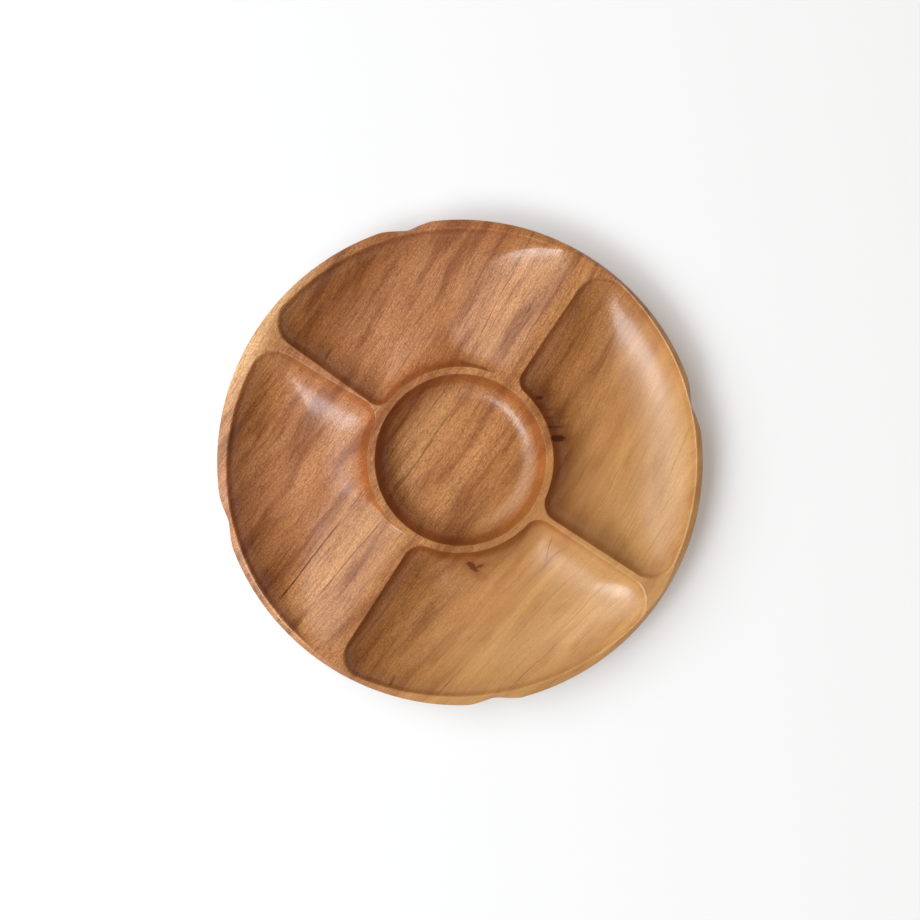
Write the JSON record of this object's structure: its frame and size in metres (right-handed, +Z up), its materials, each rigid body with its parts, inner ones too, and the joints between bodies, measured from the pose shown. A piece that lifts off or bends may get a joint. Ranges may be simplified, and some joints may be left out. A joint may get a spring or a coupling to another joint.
{
  "type": "chip and dip tray",
  "caption": "Round carved wooden serving tray: sector-shaped wells for chips lie between low ribs round a round dip well in the middle, with shallow notches in the rim.",
  "frame": {"origin": "middle of the flat base, on the surface that the tray stands on", "axes": "+Z up, out of the wells; +X along the grain and along two of the ribs; +Y across the boards, along the other two ribs"},
  "size_m": [0.305, 0.305, 0.025],
  "materials": {
    "tray_wood": "oiled, satin",
    "glue": "dried wood glue, flush with the wood"
  },
  "bodies": {
    "root": {"stave_1": "tray_wood", "stave_2": "tray_wood", "stave_3": "tray_wood", "stave_4": "tray_wood", "stave_5": "tray_wood", "glue_line_1": "glue", "glue_line_2": "glue", "glue_line_3": "glue", "glue_line_4": "glue"}
  },
  "joints": []
}
